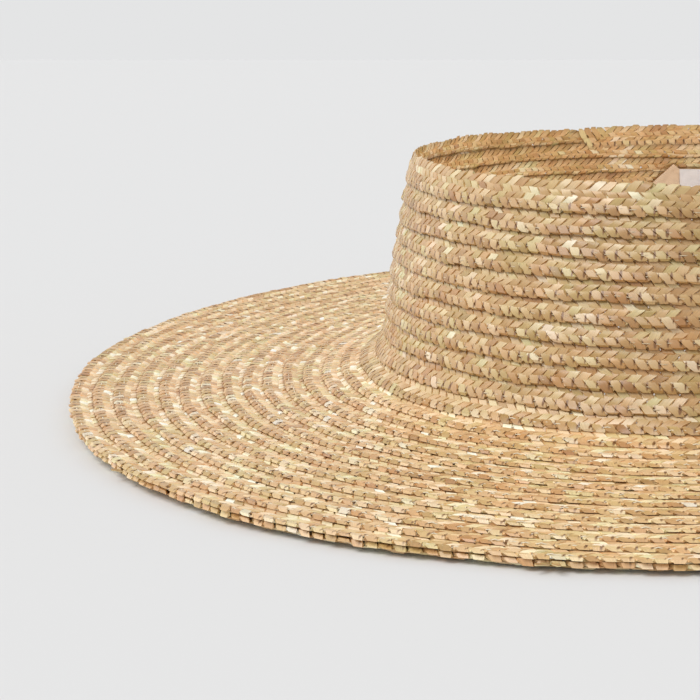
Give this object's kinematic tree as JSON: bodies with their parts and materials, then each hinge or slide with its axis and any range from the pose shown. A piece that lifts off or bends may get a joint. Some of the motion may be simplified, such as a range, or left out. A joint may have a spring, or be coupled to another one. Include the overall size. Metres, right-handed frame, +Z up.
{
  "type": "straw boater hat",
  "caption": "Wide flat-brimmed hat of wheat straw plait sewn in a spiral, with an open-topped oval crown and a small label inside the back.",
  "frame": {"origin": "on the surface that the hat rests on, under the middle of its outline seen from above", "axes": "+Y to the back of the hat, where the label is; -Y to the front; +X to the right for a viewer who faces the hat's front; +Z up, out of the crown"},
  "size_m": [0.3188, 0.3444, 0.0606],
  "materials": {
    "wheat_straw": "sewn wheat straw plait, dry, with a soft sheen on each straw",
    "beige_tape": "plain woven tape, matt",
    "white_label": "plain woven label, matt"
  },
  "bodies": {
    "root": {"crown": "wheat_straw", "brim": "wheat_straw", "brim_edge": "wheat_straw", "back_tape": "beige_tape", "size_label": "white_label"}
  },
  "joints": []
}
